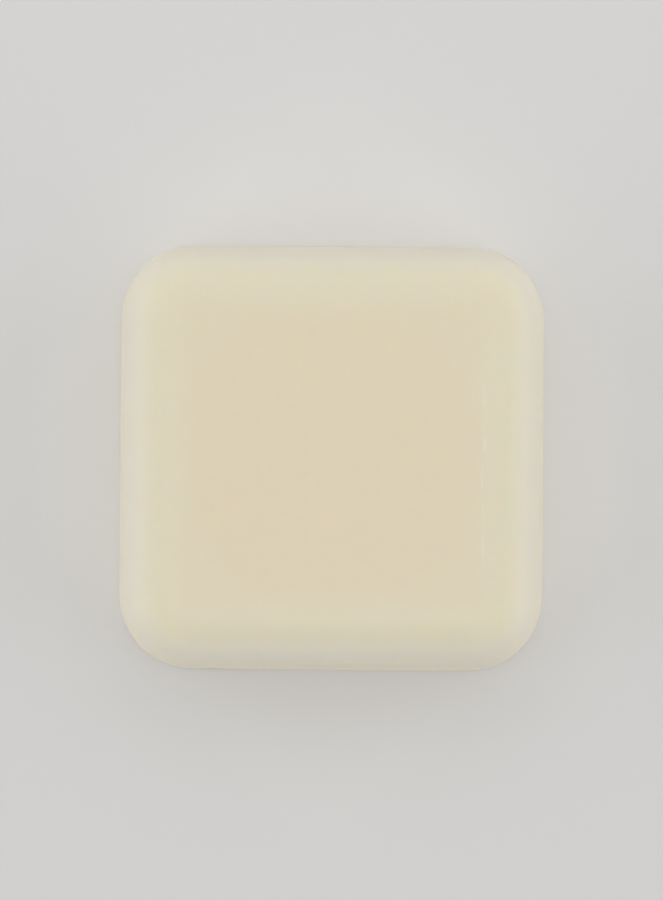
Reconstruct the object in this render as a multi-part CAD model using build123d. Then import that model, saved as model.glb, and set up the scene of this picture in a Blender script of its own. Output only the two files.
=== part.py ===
from build123d import *

import math
import os

# Shaving soap puck: one block of hard soap, cast in a flexible mould and pushed out of it.
# The base is the open side of the mould, so it is the widest section and its edge is tight.
# The walls lean in towards the top by the mould's draft. The top is the lathering face, which
# is flat inside a wide rounded edge. Nothing is fitted to the block and nothing in it moves.
# Frame: millimetres, +Z up, origin at the middle of the base.

# Driving dimensions
base_width = 60.0  # left to right, along X, at the base
base_depth = 60.0  # front to back, along Y, at the base
puck_height = 25.0  # base to lathering face
corner_radius = 10.5  # upright corners seen in plan, at the base
draft_angle = 4.0  # lean of each wall from upright, in degrees
top_edge_radius = 6.5  # rounded edge round the lathering face
base_edge_radius = 0.3  # scraped edge round the base

# Smallest pieces that the roundings leave
corner_land = 0.5  # radius left to a corner inside the top edge's rounding
wall_land = 1.0  # height of plain wall left between the two roundings


def draft_inset():
    """How far each wall has leaned in at the height of the lathering face."""
    return puck_height * math.tan(math.radians(draft_angle))


def top_rounding():
    """The top edge's radius, no larger than the corner and the wall can carry."""
    corner_room = corner_radius - draft_inset() - corner_land
    wall_room = puck_height - base_edge_radius - wall_land
    return min(top_edge_radius, corner_room, wall_room)


def drafted_block():
    """The cast block with sharp top and base edges: the base outline drawn in by the draft."""
    outline = RectangleRounded(base_width, base_depth, corner_radius)
    return extrude(outline, amount=puck_height, taper=draft_angle)


def make_soap_puck():
    """The finished puck, with its top edge and its base edge rounded."""
    block = drafted_block()
    top_edges = block.faces().sort_by(Axis.Z)[-1].edges()
    block = fillet(top_edges, top_rounding())
    base_edges = block.faces().sort_by(Axis.Z)[0].edges()
    return fillet(base_edges, base_edge_radius)


def main():
    os.makedirs("parts", exist_ok=True)
    nodes = {"soap_puck": make_soap_puck()}
    for node_name, shape in nodes.items():
        export_step(shape, f"parts/{node_name}.step")
        print(f"{node_name}: {shape.volume / 1000:.2f} cm3")


main()
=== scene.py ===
import bpy
import math
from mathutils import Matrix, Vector


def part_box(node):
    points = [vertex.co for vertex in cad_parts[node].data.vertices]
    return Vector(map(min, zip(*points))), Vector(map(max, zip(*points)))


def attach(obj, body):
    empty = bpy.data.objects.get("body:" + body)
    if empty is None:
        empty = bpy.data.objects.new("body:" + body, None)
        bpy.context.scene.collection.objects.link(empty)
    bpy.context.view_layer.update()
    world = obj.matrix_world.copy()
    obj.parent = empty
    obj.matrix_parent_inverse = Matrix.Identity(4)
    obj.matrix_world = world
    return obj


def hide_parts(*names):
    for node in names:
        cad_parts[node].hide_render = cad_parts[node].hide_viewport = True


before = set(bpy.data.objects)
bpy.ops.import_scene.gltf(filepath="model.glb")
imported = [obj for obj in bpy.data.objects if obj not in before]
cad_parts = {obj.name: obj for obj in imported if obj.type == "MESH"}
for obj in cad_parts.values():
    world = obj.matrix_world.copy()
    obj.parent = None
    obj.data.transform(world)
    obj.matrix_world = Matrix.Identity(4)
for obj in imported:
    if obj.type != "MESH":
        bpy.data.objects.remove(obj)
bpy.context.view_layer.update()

puckLow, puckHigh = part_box("soap_puck")
mm = 0.001
print("frame loaded: one cast puck,", [round(v / mm, 2) for v in puckHigh - puckLow], "mm")


def toLinear(hexColour):
    shares = [int(hexColour[i:i + 2], 16) / 255 for i in (1, 3, 5)]
    return [s / 12.92 if s <= 0.04045 else ((s + 0.055) / 1.055) ** 2.4 for s in shares] + [1.0]


def addNode(tree, kind, *feeds, named=None, **settings):
    # feeds go to the first inputs in order, named ones by name or place
    node = tree.nodes.new(kind)
    for name, value in settings.items():
        setattr(node, name, value)
    for key, value in [*enumerate(feeds), *(named or {}).items()]:
        if isinstance(value, bpy.types.NodeSocket):
            tree.links.new(value, node.inputs[key])
        elif value is not None:
            node.inputs[key].default_value = value
    return node.outputs


def groupTree(name, values):
    # an empty geometry tree with one named input for each value
    tree = bpy.data.node_groups.new(name, "GeometryNodeTree")
    tree.interface.new_socket("Geometry", in_out="OUTPUT", socket_type="NodeSocketGeometry")
    sockets = {}
    for title, value in values.items():
        kind = "NodeSocketInt" if isinstance(value, int) else "NodeSocketFloat"
        sockets[title] = tree.interface.new_socket(title, in_out="INPUT", socket_type=kind)
    return tree, sockets


soapBlock = {
    "Corner Radius": 10.5 * mm,  # upright corners in plan, at the base
    "Draft": math.radians(4.0),  # walls lean in towards the lathering face
    "Top Edge Radius": 6.5 * mm,  # wide rounding round the lathering face
    "Edge Softening": 1.5 * mm,  # how gently that rounding starts and ends
    "Sheen Corner": 22.0 * mm,  # the painted pale sheen band reaches further in at the corners
    "Base Edge Radius": 0.3 * mm,  # edge left where the poured side was scraped
    "Arc Points": 48,  # points along each rounding of the section
    "Plan Points": 161,  # grid points along a side
    "Wall Points": 67,  # grid points up a wall
    "Corner Draw": 0.18 * mm,  # corners dry first and pull in a little
    "Face Sink": 0.10 * mm,  # the lathering face sinks as the soap sets
    "Base Sink": 0.35 * mm,  # the poured side sinks more
    "Ripple Height": 0.035 * mm,  # slow unevenness all over
    "Ripple Size": 13.0 * mm,
    "Stroke Height": 0.06 * mm,  # strokes of the scraper across the base
    "Stroke Gap": 1.9 * mm,
    "Pit Density": 2600.0,  # air pits to a square metre
    "Pit Radius": 0.8 * mm,  # of the largest, the smallest is half of it
    "Pit Depth": 0.55,  # share of the radius
    "Pit Lowest": -1.0 * mm,  # below the base, so the base has pits too
    "Pit Highest": 12.0 * mm,
    "Pit Seed": 3,
    "Knock Density": 900.0,  # shallow knocks to a square metre
    "Knock Radius": 2.2 * mm,  # of the largest, as with the pits
    "Knock Depth": 0.10,  # share of the radius
    "Knock Lowest": 0.1 * mm,
    "Knock Highest": 6.0 * mm,
    "Knock Seed": 11,
}


def addSection(tree, size):
    # half of the upright section as a curve, from the middle of the top to the middle of the base
    slope = addNode(tree, "ShaderNodeMath", size["Draft"], operation="TANGENT")[0]
    inset = addNode(tree, "ShaderNodeMath", size["Height"], slope, operation="MULTIPLY")[0]
    topReach = addNode(tree, "ShaderNodeMath", size["Corner Radius"], inset, operation="SUBTRACT")[0]
    corners = {
        "Point 1": addNode(tree, "ShaderNodeCombineXYZ", 0.0, 0.0, size["Height"])[0],
        "Point 2": addNode(tree, "ShaderNodeCombineXYZ", topReach, 0.0, size["Height"])[0],
        "Point 3": addNode(tree, "ShaderNodeCombineXYZ", size["Corner Radius"], 0.0, 0.0)[0],
        "Point 4": (0.0, 0.0, 0.0),
    }
    outline = addNode(tree, "GeometryNodeCurvePrimitiveQuadrilateral", named=corners, mode="POINTS")[0]
    outline = addNode(tree, "GeometryNodeSetSplineCyclic", outline, None, False)[0]
    place = addNode(tree, "GeometryNodeInputIndex")[0]
    isTopEdge = addNode(tree, "ShaderNodeMath", place, 1.0, 0.5, operation="COMPARE")[0]
    radius = addNode(tree, "ShaderNodeMix", isTopEdge, None, size["Base Edge Radius"],
                     size["Top Edge Radius"])[0]
    return addNode(tree, "GeometryNodeFilletCurve", outline, size["Arc Points"], radius, mode="POLY")[0]


def addSoftened(tree, size, way, wayWhole):
    # place on the section, averaged over a short stretch so that the top edge's rounding starts and
    # ends gently; the stretch shortens to nothing at the middle of the top and towards the base
    section = addSection(tree, size)
    downWall = 0.7  # share of the height at which the stretch has shortened to nothing
    ends = addNode(tree, "ShaderNodeMath", size["Height"], downWall, size["Corner Radius"],
                   operation="MULTIPLY_ADD")[0]
    stretch = addNode(tree, "ShaderNodeMapRange", way, size["Corner Radius"], ends, size["Edge Softening"],
                      0.0, interpolation_type="SMOOTHSTEP")[0]
    stretch = addNode(tree, "ShaderNodeMath", stretch, way, operation="MINIMUM")[0]
    weights = {-1.0: 1, -0.67: 2, -0.33: 3, 0.0: 4, 0.33: 3, 0.67: 2, 1.0: 1}  # by share of the stretch
    place = None
    for shift, weight in weights.items():
        shifted = addNode(tree, "ShaderNodeMath", stretch, shift, way, operation="MULTIPLY_ADD")[0]
        share = addNode(tree, "ShaderNodeMath", shifted, wayWhole, operation="DIVIDE")[0]
        found = addNode(tree, "GeometryNodeSampleCurve", section, None, share, mode="FACTOR",
                        use_all_curves=True)["Position"]
        part = addNode(tree, "ShaderNodeVectorMath", found, operation="SCALE",
                       named={"Scale": weight / sum(weights.values())})[0]
        place = part if place is None else addNode(tree, "ShaderNodeVectorMath", place, part,
                                                   operation="ADD")[0]
    return place


def addBlock(tree, size):
    # a cube grid wrapped onto the section: its rings follow the rounded plan outline,
    # and the way over a ring, from the middle of the top to the middle of the base, follows the section
    whole = addNode(tree, "ShaderNodeCombineXYZ", size["Width"], size["Depth"], size["Height"])[0]
    cube = addNode(tree, "GeometryNodeMeshCube", whole, size["Plan Points"], size["Plan Points"],
                   size["Wall Points"])[0]
    point = addNode(tree, "GeometryNodeInputPosition")[0]
    flat = addNode(tree, "ShaderNodeVectorMath", point, (1.0, 1.0, 0.0), operation="MULTIPLY")[0]
    # the inner rectangle is what is left when the corner radius is taken off every side
    margin = addNode(tree, "ShaderNodeCombineXYZ", size["Corner Radius"], size["Corner Radius"],
                     size["Height"])[0]
    halfWhole = addNode(tree, "ShaderNodeVectorMath", whole, (0.5, 0.5, 1.0), operation="MULTIPLY")[0]
    inner = addNode(tree, "ShaderNodeVectorMath", halfWhole, margin, operation="SUBTRACT")[0]
    innerLow = addNode(tree, "ShaderNodeVectorMath", inner, (-1.0, -1.0, -1.0), operation="MULTIPLY")[0]
    anchor = addNode(tree, "ShaderNodeVectorMath", flat, inner, operation="MINIMUM")[0]
    anchor = addNode(tree, "ShaderNodeVectorMath", anchor, innerLow, operation="MAXIMUM")[0]
    beyond = addNode(tree, "ShaderNodeVectorMath", flat, anchor, operation="SUBTRACT")[0]
    outwards = addNode(tree, "ShaderNodeVectorMath", beyond, operation="NORMALIZE")[0]
    beyond = addNode(tree, "ShaderNodeVectorMath", beyond, operation="ABSOLUTE")[0]
    beyondX, beyondY = addNode(tree, "ShaderNodeSeparateXYZ", beyond)[:2]
    ring = addNode(tree, "ShaderNodeMath", beyondX, beyondY, operation="MAXIMUM")[0]
    # way over the sharp block, measured from the ring's start on the top
    halfHeight = addNode(tree, "ShaderNodeMath", size["Height"], 0.5, operation="MULTIPLY")[0]
    pointZ = addNode(tree, "ShaderNodeSeparateXYZ", point)[2]
    drop = addNode(tree, "ShaderNodeMath", halfHeight, pointZ, operation="SUBTRACT")[0]
    wayDown = addNode(tree, "ShaderNodeMath", ring, drop, operation="ADD")[0]
    wayWhole = addNode(tree, "ShaderNodeMath", size["Corner Radius"], 2.0, size["Height"],
                       operation="MULTIPLY_ADD")[0]
    wayUnder = addNode(tree, "ShaderNodeMath", wayWhole, ring, operation="SUBTRACT")[0]
    isUnder = addNode(tree, "ShaderNodeMath", drop, size["Height"], 1e-6, operation="COMPARE")[0]
    way = addNode(tree, "ShaderNodeMix", isUnder, None, wayDown, wayUnder)[0]
    section = addSoftened(tree, size, way, wayWhole)
    reach, _, rise = addNode(tree, "ShaderNodeSeparateXYZ", section)[:3]
    spread = addNode(tree, "ShaderNodeVectorMath", outwards, None, None, reach, operation="SCALE")[0]
    lift = addNode(tree, "ShaderNodeCombineXYZ", 0.0, 0.0, rise)[0]
    placed = addNode(tree, "ShaderNodeVectorMath", anchor, spread, operation="ADD")[0]
    placed = addNode(tree, "ShaderNodeVectorMath", placed, lift, operation="ADD")[0]
    # how far each point lies in over the surface from where the top and the wall would meet,
    # and below nought down the wall
    pastEdge = addNode(tree, "ShaderNodeMath", size["Corner Radius"], way, operation="SUBTRACT")[0]
    room = addNode(tree, "ShaderNodeVectorMath", flat, operation="ABSOLUTE")[0]
    room = addNode(tree, "ShaderNodeVectorMath", inner, room, operation="SUBTRACT")[0]
    roomX, roomY = addNode(tree, "ShaderNodeSeparateXYZ", room)[:2]
    inside = addNode(tree, "ShaderNodeMath", roomX, roomY, size["Sheen Corner"], operation="SMOOTH_MIN")[0]
    inside = addNode(tree, "ShaderNodeMath", inside, 0.0, operation="MAXIMUM")[0]
    pastEdge = addNode(tree, "ShaderNodeMath", pastEdge, inside, operation="ADD")[0]
    marked = addNode(tree, "GeometryNodeStoreNamedAttribute", cube, None, "pastEdge", pastEdge,
                     data_type="FLOAT", domain="POINT")[0]
    return addNode(tree, "GeometryNodeSetPosition", marked, None, placed)[0]


def addDrying(tree, size):
    # how far the surface has moved out since the soap was poured: sunk faces, drawn corners, slow ripple
    point = addNode(tree, "GeometryNodeInputPosition")[0]
    normal = addNode(tree, "GeometryNodeInputNormal")[0]
    halfWhole = addNode(tree, "ShaderNodeCombineXYZ", size["Width"], size["Depth"], 1.0)[0]
    halfWhole = addNode(tree, "ShaderNodeVectorMath", halfWhole, (0.5, 0.5, 1.0), operation="MULTIPLY")[0]
    across = addNode(tree, "ShaderNodeVectorMath", point, halfWhole, operation="DIVIDE")[0]
    across = addNode(tree, "ShaderNodeVectorMath", across, across, operation="MULTIPLY")[0]
    acrossX, acrossY = addNode(tree, "ShaderNodeSeparateXYZ", across)[:2]
    facing = addNode(tree, "ShaderNodeSeparateXYZ", normal)[2]
    flatness = addNode(tree, "ShaderNodeMath", facing, operation="ABSOLUTE")[0]
    # faces sink most in their middle
    leftX = addNode(tree, "ShaderNodeMath", 1.0, acrossX, operation="SUBTRACT")[0]
    leftY = addNode(tree, "ShaderNodeMath", 1.0, acrossY, operation="SUBTRACT")[0]
    middle = addNode(tree, "ShaderNodeMath", leftX, leftY, operation="MULTIPLY")[0]
    middle = addNode(tree, "ShaderNodeMath", middle, flatness, operation="MULTIPLY")[0]
    sinkHere = addNode(tree, "ShaderNodeMapRange", facing, -1.0, 1.0, size["Base Sink"],
                       size["Face Sink"])[0]
    sunk = addNode(tree, "ShaderNodeMath", middle, sinkHere, operation="MULTIPLY")[0]
    # upright corners pull in
    upright = addNode(tree, "ShaderNodeMath", 1.0, flatness, operation="SUBTRACT")[0]
    nearCorner = addNode(tree, "ShaderNodeMath", acrossX, acrossY, operation="MULTIPLY")[0]
    drawn = addNode(tree, "ShaderNodeMath", nearCorner, upright, operation="MULTIPLY")[0]
    drawn = addNode(tree, "ShaderNodeMath", drawn, size["Corner Draw"], operation="MULTIPLY")[0]
    # slow ripple: the noise keeps to the middle of its range, which is stretched to its whole height
    noiseStretch = 4.0
    rippleScale = addNode(tree, "ShaderNodeMath", 1.0, size["Ripple Size"], operation="DIVIDE")[0]
    ripple = addNode(tree, "ShaderNodeTexNoise", point, None, rippleScale, 2.0, 0.5)[0]
    ripple = addNode(tree, "ShaderNodeMath", ripple, 0.5, operation="SUBTRACT")[0]
    ripple = addNode(tree, "ShaderNodeMath", ripple, size["Ripple Height"], operation="MULTIPLY")[0]
    ripple = addNode(tree, "ShaderNodeMath", ripple, noiseStretch, operation="MULTIPLY")[0]
    # scraper strokes, long along Y and only on the base
    strokeScale = addNode(tree, "ShaderNodeMath", 1.0, size["Stroke Gap"], operation="DIVIDE")[0]
    strokeShape = (1.0, 0.03, 0.0)
    along = addNode(tree, "ShaderNodeVectorMath", point, strokeShape, operation="MULTIPLY")[0]
    stroke = addNode(tree, "ShaderNodeTexNoise", along, None, strokeScale, 1.0, 0.5)[0]
    under = addNode(tree, "ShaderNodeMath", facing, -1.0, operation="MULTIPLY", use_clamp=True)[0]
    stroke = addNode(tree, "ShaderNodeMath", stroke, under, operation="MULTIPLY")[0]
    stroke = addNode(tree, "ShaderNodeMath", stroke, size["Stroke Height"], operation="MULTIPLY")[0]
    moved = ripple
    for inward in (sunk, drawn, stroke):
        moved = addNode(tree, "ShaderNodeMath", moved, inward, operation="SUBTRACT")[0]
    return moved


def addMarks(tree, block, size, kind):
    # round hollows at scattered points, between two heights; returns how deep each point sinks
    point = addNode(tree, "GeometryNodeInputPosition")[0]
    height = addNode(tree, "ShaderNodeSeparateXYZ", point)[2]
    isUnder = addNode(tree, "ShaderNodeMath", height, size[f"{kind} Highest"], operation="LESS_THAN")[0]
    isOver = addNode(tree, "ShaderNodeMath", height, size[f"{kind} Lowest"], operation="GREATER_THAN")[0]
    chosen = addNode(tree, "ShaderNodeMath", isUnder, isOver, operation="MULTIPLY")[0]
    spots = addNode(tree, "GeometryNodeDistributePointsOnFaces", block, chosen, None, None,
                    size[f"{kind} Density"], None, size[f"{kind} Seed"])[0]
    smallest = addNode(tree, "ShaderNodeMath", size[f"{kind} Radius"], 0.5, operation="MULTIPLY")[0]
    spotRadius = addNode(tree, "FunctionNodeRandomValue", None, None, smallest,
                         size[f"{kind} Radius"], named={"Seed": size[f"{kind} Seed"]})[1]
    nearest = addNode(tree, "GeometryNodeSampleNearest", spots, point)[0]
    radius = addNode(tree, "GeometryNodeSampleIndex", spots, spotRadius, nearest)[0]
    away = addNode(tree, "GeometryNodeProximity", spots, None, point, target_element="POINTS")[1]
    share = addNode(tree, "ShaderNodeMath", away, radius, operation="DIVIDE")[0]
    bowl = addNode(tree, "ShaderNodeMapRange", share, 0.0, 1.0, 1.0, 0.0,
                   interpolation_type="SMOOTHERSTEP")[0]
    deep = addNode(tree, "ShaderNodeMath", radius, size[f"{kind} Depth"], operation="MULTIPLY")[0]
    return addNode(tree, "ShaderNodeMath", bowl, deep, operation="MULTIPLY")[0]


def soapTree(values, finish):
    tree, sockets = groupTree("castSoapBlock", values)
    size = addNode(tree, "NodeGroupInput")
    size = {title: size[title] for title in values}
    block = addBlock(tree, size)
    moved = addDrying(tree, size)
    for kind in ("Pit", "Knock"):
        hollow = addMarks(tree, block, size, kind)
        moved = addNode(tree, "ShaderNodeMath", moved, hollow, operation="SUBTRACT")[0]
    normal = addNode(tree, "GeometryNodeInputNormal")[0]
    offset = addNode(tree, "ShaderNodeVectorMath", normal, None, None, moved, operation="SCALE")[0]
    block = addNode(tree, "GeometryNodeSetPosition", block, None, None, offset)[0]
    # what would stand below the resting plane has been pressed flat
    point = addNode(tree, "GeometryNodeInputPosition")[0]
    rested = addNode(tree, "ShaderNodeVectorMath", point, (-1.0, -1.0, 0.0), operation="MAXIMUM")[0]
    block = addNode(tree, "GeometryNodeSetPosition", block, None, rested)[0]
    block = addNode(tree, "GeometryNodeSetShadeSmooth", block)[0]
    block = addNode(tree, "GeometryNodeRealizeInstances", block)[0]
    block = addNode(tree, "GeometryNodeSetMaterial", block, None, finish)[0]
    addNode(tree, "NodeGroupOutput", block)
    return tree, sockets


def plainMesh(name, tree, sockets, values):
    # runs the tree with its values and keeps the result as a plain mesh
    maker = bpy.data.objects.new(name + "Maker", bpy.data.meshes.new(name + "Maker"))
    bpy.context.scene.collection.objects.link(maker)
    modifier = maker.modifiers.new("shape", "NODES")
    modifier.node_group = tree
    for title, value in values.items():
        modifier[sockets[title].identifier] = value
    depsgraph = bpy.context.evaluated_depsgraph_get()
    mesh = bpy.data.meshes.new_from_object(maker.evaluated_get(depsgraph),
                                           preserve_all_data_layers=True, depsgraph=depsgraph)
    mesh.name = name
    maker.modifiers.remove(modifier)
    bpy.data.objects.remove(maker)
    piece = bpy.data.objects.new(name, mesh)
    bpy.context.scene.collection.objects.link(piece)
    return piece


castSoapLook = {
    "wallToneAndShade": "#DBD2BC",  # warm, like the soap inside, and darker than the face: partly painted shade on the walls near the floor
    "rimSheen": "#D8D3C4",  # painted sheen: the steep part of the rounding, paler and greyer, for the reflection of the tent and light through the edge
    "shoulderHighlight": "#E4DEC7",  # painted highlight: a pale band where the rounding meets the face
    "core": "#E5DAC0",  # deep soap, seen through the flat face
    "wallFrom": -4.2 * mm,  # each colour's place, as pastEdge gives it
    "rimAt": 0.8 * mm,
    "shoulderAt": 6.3 * mm,
    "coreFrom": 12.5 * mm,
    "cloud": "#E3D7BA",  # faint clouds in the core
    "cloudSize": 9.0 * mm,
    "cloudSpread": (0.35, 0.65),  # noise values with no cloud and with a full one
    "cloudShare": 0.25,
    "scuff": "#ECE6DC",  # a dry, whitish hairline
    "scuffX": 20.6 * mm,
    "scuffMiddle": -1.7 * mm,
    "scuffReach": 17.0 * mm,  # to either side of its middle
    "scuffFull": 0.7,  # share of the reach before it starts to fade
    "scuffWidth": 0.30 * mm,  # to either side of its line
    "scuffWander": 9.0 * mm,  # length of each bend in its line
    "wanderSpread": (0.2, 0.8),
    "scuffBreaks": 2.2 * mm,  # size of the gaps
    "breakSpread": (0.38, 0.58),
    "scuffShare": 0.6,
    "grainSize": 0.30 * mm,  # fine grain of the set surface
    "grainHeight": 0.006 * mm,
    "grainSpread": (0.3, 0.7),
    "peelSize": 1.6 * mm,  # soft waviness left by the mould
    "peelHeight": 0.010 * mm,
    "roughness": (0.40, 0.50),
    "ior": 1.46,  # soaps and waxes lie near this
    "scatterDistance": 3.0 * mm,
    "scatterByColour": (1.0, 0.8, 0.55),  # red light goes furthest in
}


def castSoap(look):
    # hard tallow soap poured hot into a flexible mould: a satin, waxy skin that lets light a few
    # millimetres in, so hollows glow warm and rounded edges turn pale
    material = bpy.data.materials.new("castSoap")
    material.use_nodes = True
    tree = material.node_tree
    soap = tree.nodes["Principled BSDF"]
    point = addNode(tree, "ShaderNodeTexCoord")["Object"]
    pastEdge = addNode(tree, "ShaderNodeAttribute", attribute_name="pastEdge")["Fac"]
    cloud = addNode(tree, "ShaderNodeTexNoise", point, None, 1 / look["cloudSize"], 3.0, 0.55)[0]
    cloud = addNode(tree, "ShaderNodeMapRange", cloud, *look["cloudSpread"], 0.0, look["cloudShare"])[0]
    colour = addNode(tree, "ShaderNodeMix", cloud, named={6: toLinear(look["core"]),
                     7: toLinear(look["cloud"])}, data_type="RGBA")[2]
    # the rim and shoulder bands paint paler colour along the rounding: painted sheen and highlight for
    # light reflected and scattered at the edge
    # the wall band is the soap's warm tone, darkened as painted shade
    bands = (("shoulderHighlight", "coreFrom", "shoulderAt", "LINEAR"), ("rimSheen", "shoulderAt", "rimAt", "SMOOTHSTEP"),
             ("wallToneAndShade", "rimAt", "wallFrom", "SMOOTHSTEP"))
    for title, starts, ends, easing in bands:
        share = addNode(tree, "ShaderNodeMapRange", pastEdge, look[starts], look[ends], 0.0, 1.0,
                        interpolation_type=easing)[0]
        colour = addNode(tree, "ShaderNodeMix", share, named={6: colour, 7: toLinear(look[title])},
                         data_type="RGBA")[2]
    # a hairline scuff on the face, front to back: it wanders a little and is broken along its length
    x, y = addNode(tree, "ShaderNodeSeparateXYZ", point)[:2]
    wander = addNode(tree, "ShaderNodeTexNoise", None, y, 1 / look["scuffWander"], 1.0, 0.5,
                     noise_dimensions="1D")[0]
    wander = addNode(tree, "ShaderNodeMapRange", wander, *look["wanderSpread"], -look["scuffWidth"],
                     look["scuffWidth"])[0]
    aside = addNode(tree, "ShaderNodeMath", x, wander, operation="SUBTRACT")[0]
    aside = addNode(tree, "ShaderNodeMath", aside, look["scuffX"], operation="SUBTRACT")[0]
    aside = addNode(tree, "ShaderNodeMath", aside, operation="ABSOLUTE")[0]
    scuff = addNode(tree, "ShaderNodeMapRange", aside, 0.0, look["scuffWidth"], 1.0, 0.0,
                    interpolation_type="SMOOTHSTEP")[0]
    along = addNode(tree, "ShaderNodeMath", y, look["scuffMiddle"], operation="SUBTRACT")[0]
    along = addNode(tree, "ShaderNodeMath", along, operation="ABSOLUTE")[0]
    fadeFrom = look["scuffReach"] * look["scuffFull"]
    along = addNode(tree, "ShaderNodeMapRange", along, look["scuffReach"], fadeFrom, 0.0, 1.0)[0]
    breaks = addNode(tree, "ShaderNodeTexNoise", point, None, 1 / look["scuffBreaks"], 2.0, 0.5)[0]
    breaks = addNode(tree, "ShaderNodeMapRange", breaks, *look["breakSpread"], 0.0, look["scuffShare"])[0]
    onFace = addNode(tree, "ShaderNodeMath", pastEdge, 0.0, operation="GREATER_THAN")[0]
    for part in (along, breaks, onFace):
        scuff = addNode(tree, "ShaderNodeMath", scuff, part, operation="MULTIPLY")[0]
    colour = addNode(tree, "ShaderNodeMix", scuff, named={6: colour, 7: toLinear(look["scuff"])},
                     data_type="RGBA")[2]
    tree.links.new(colour, soap.inputs["Base Color"])
    grain = addNode(tree, "ShaderNodeTexNoise", point, None, 1 / look["grainSize"], 2.0, 0.5)[0]
    roughness = addNode(tree, "ShaderNodeMapRange", grain, *look["grainSpread"], *look["roughness"])[0]
    tree.links.new(roughness, soap.inputs["Roughness"])
    peel = addNode(tree, "ShaderNodeTexNoise", point, None, 1 / look["peelSize"], 1.0, 0.5)[0]
    bump = addNode(tree, "ShaderNodeBump", named={"Strength": 1.0, "Distance": look["peelHeight"],
                   "Height": peel})[0]
    bump = addNode(tree, "ShaderNodeBump", named={"Strength": 1.0, "Distance": look["grainHeight"],
                   "Height": grain, "Normal": bump})[0]
    tree.links.new(bump, soap.inputs["Normal"])
    soap.inputs["IOR"].default_value = look["ior"]
    soap.inputs["Subsurface Weight"].default_value = 1.0
    soap.inputs["Subsurface Radius"].default_value = look["scatterByColour"]
    soap.inputs["Subsurface Scale"].default_value = look["scatterDistance"]
    return material


puckSize = puckHigh - puckLow
# the box is measured with the base edge rounded, which trims the sharp outline a little
lean = soapBlock["Draft"]
trim = soapBlock["Base Edge Radius"] * (math.tan(lean) + 1 / math.cos(lean) - math.cos(lean))
soapValues = {
    "Width": puckSize.x + 2 * trim,
    "Depth": puckSize.y + 2 * trim,
    "Height": puckSize.z,
    **soapBlock,
}
soapFinish = castSoap(castSoapLook)
puck = plainMesh("soap_block", *soapTree(soapValues, soapFinish), soapValues)
print("soap block:", len(puck.data.vertices), "points,", len(puck.data.polygons), "faces")
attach(puck, "root")
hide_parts("soap_puck")


floorLook = {
    "reach": 0.40,  # radius
    "sides": 96,
    "fadeFrom": 0.12,  # from here outwards the floor fades into the backdrop
    "paint": "#DAD9D8",
    "roughness": 0.75,
    "gloss": 0.25,
    "backdrop": "#DDDCDA",
}


def studioFloor(look):
    # a round board, matt white paint, that fades into the backdrop so that no edge shows in a low view
    turns = look["sides"]
    points = [(0.0, 0.0, 0.0)]
    for turn in range(turns):
        angle = 2 * math.pi * turn / turns
        points.append((look["reach"] * math.cos(angle), look["reach"] * math.sin(angle), 0.0))
    faces = [(0, 1 + turn, 1 + (turn + 1) % turns) for turn in range(turns)]
    mesh = bpy.data.meshes.new("studioFloor")
    mesh.from_pydata(points, [], faces)
    board = bpy.data.objects.new("studio_floor", mesh)
    bpy.context.scene.collection.objects.link(board)
    paint = bpy.data.materials.new("mattPaint")
    paint.use_nodes = True
    tree = paint.node_tree
    matt = tree.nodes["Principled BSDF"]
    matt.inputs["Base Color"].default_value = toLinear(look["paint"])
    matt.inputs["Roughness"].default_value = look["roughness"]
    matt.inputs["Specular IOR Level"].default_value = look["gloss"]
    point = addNode(tree, "ShaderNodeTexCoord")["Object"]
    away = addNode(tree, "ShaderNodeVectorMath", point, operation="LENGTH")["Value"]
    cover = addNode(tree, "ShaderNodeMapRange", away, look["fadeFrom"], look["reach"], 1.0, 0.0,
                    interpolation_type="SMOOTHSTEP")[0]
    tree.links.new(cover, matt.inputs["Alpha"])
    mesh.materials.append(paint)
    return board


studioFloor(floorLook)
print("floor in place")

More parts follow.
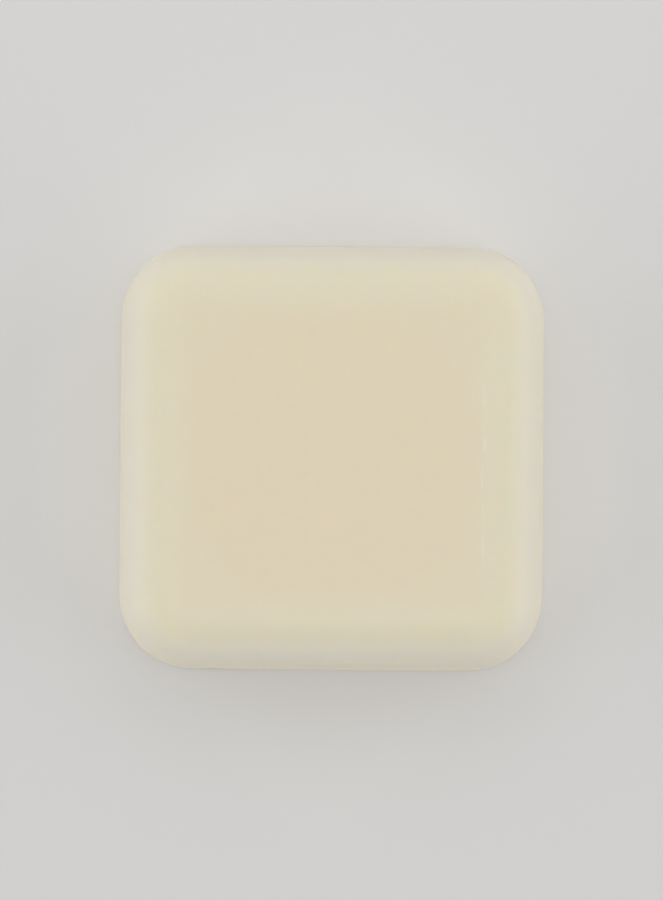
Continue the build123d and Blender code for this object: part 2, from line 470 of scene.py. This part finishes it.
# a light tent: glowing panels, with place, aim, width and height in metres and power in watts
tentPanels = {
    "roof": {"place": (0.0, 0.1, 0.75), "aim": (0.0, 0.1, 0.0), "size": (0.8, 0.8), "power": 1.34},
    "overhead": {"place": (0.0, 0.0, 1.2), "aim": (0.0, 0.0, 0.0), "size": (0.1, 0.1), "power": 2.94},
    "left": {"place": (-0.45, 0.0, 0.35), "aim": (0.0, 0.0, 0.35), "size": (0.8, 0.7), "power": 1.54},
    "leftLow": {"place": (-0.45, 0.0, 0.08), "aim": (0.0, 0.0, 0.0), "size": (0.8, 0.15), "power": 0.64},
    "right": {"place": (0.45, 0.0, 0.35), "aim": (0.0, 0.0, 0.35), "size": (0.8, 0.7), "power": 1.7},
    "rightLow": {"place": (0.45, 0.0, 0.08), "aim": (0.0, 0.0, 0.0), "size": (0.8, 0.15), "power": 0.51},
    "frontLow": {"place": (0.0, -0.45, 0.08), "aim": (0.0, 0.0, 0.0), "size": (0.8, 0.15), "power": 0.84},
    "backLow": {"place": (0.0, 0.45, 0.08), "aim": (0.0, 0.0, 0.0), "size": (0.8, 0.15), "power": 0.75},
    "backMiddle": {"place": (0.0, 0.45, 0.45), "aim": (0.0, 0.0, 0.0), "size": (0.8, 0.25), "power": 0.42},
    "backHigh": {"place": (0.0, 0.28, 0.6), "aim": (0.0, 0.0, 0.0), "size": (0.6, 0.25), "power": 0.22},
}


def tentPanel(name, plan):
    lamp = bpy.data.lights.new(name, "AREA")
    lamp.shape = "RECTANGLE"
    lamp.size, lamp.size_y = plan["size"]
    lamp.energy = plan["power"]
    panel = bpy.data.objects.new(name + "_panel", lamp)
    panel.location = plan["place"]
    facing = Vector(plan["aim"]) - Vector(plan["place"])
    panel.rotation_euler = facing.to_track_quat("-Z", "Y").to_euler()
    panel.visible_camera = False
    bpy.context.scene.collection.objects.link(panel)


for name, plan in tentPanels.items():
    tentPanel(name, plan)
# the backdrop is only looked at: it lights nothing, so the tent alone shapes the light
world = bpy.data.worlds.new("paleBackdrop")
world.use_nodes = True
world.node_tree.nodes["Background"].inputs["Color"].default_value = toLinear(floorLook["backdrop"])
for ray in ("diffuse", "glossy", "transmission", "scatter"):
    setattr(world.cycles_visibility, ray, False)
bpy.context.scene.world = world
bpy.context.scene.view_settings.view_transform = "Standard"
print("light tent:", ", ".join(tentPanels))

cameraPlan = {
    "azimuth": math.radians(0.45),
    "elevation": math.radians(88.8),
    "distance": 0.6,
    "lens": 169.4,
    "aim": (-0.05 * mm, 1.2 * mm, 0.0),  # a point on the floor
}


def studioCamera(plan):
    lens = bpy.data.cameras.new("studioCamera")
    lens.lens = plan["lens"]
    lens.sensor_width = 36.0
    lens.clip_start = 0.05
    lens.clip_end = 10.0
    camera = bpy.data.objects.new("studio_camera", lens)
    level = math.cos(plan["elevation"])
    back = Vector((math.sin(plan["azimuth"]) * level, -math.cos(plan["azimuth"]) * level,
                   math.sin(plan["elevation"])))
    camera.location = Vector(plan["aim"]) + back * plan["distance"]
    camera.rotation_euler = (-back).to_track_quat("-Z", "Y").to_euler()
    bpy.context.scene.collection.objects.link(camera)
    bpy.context.scene.camera = camera


studioCamera(cameraPlan)
print("camera placed")
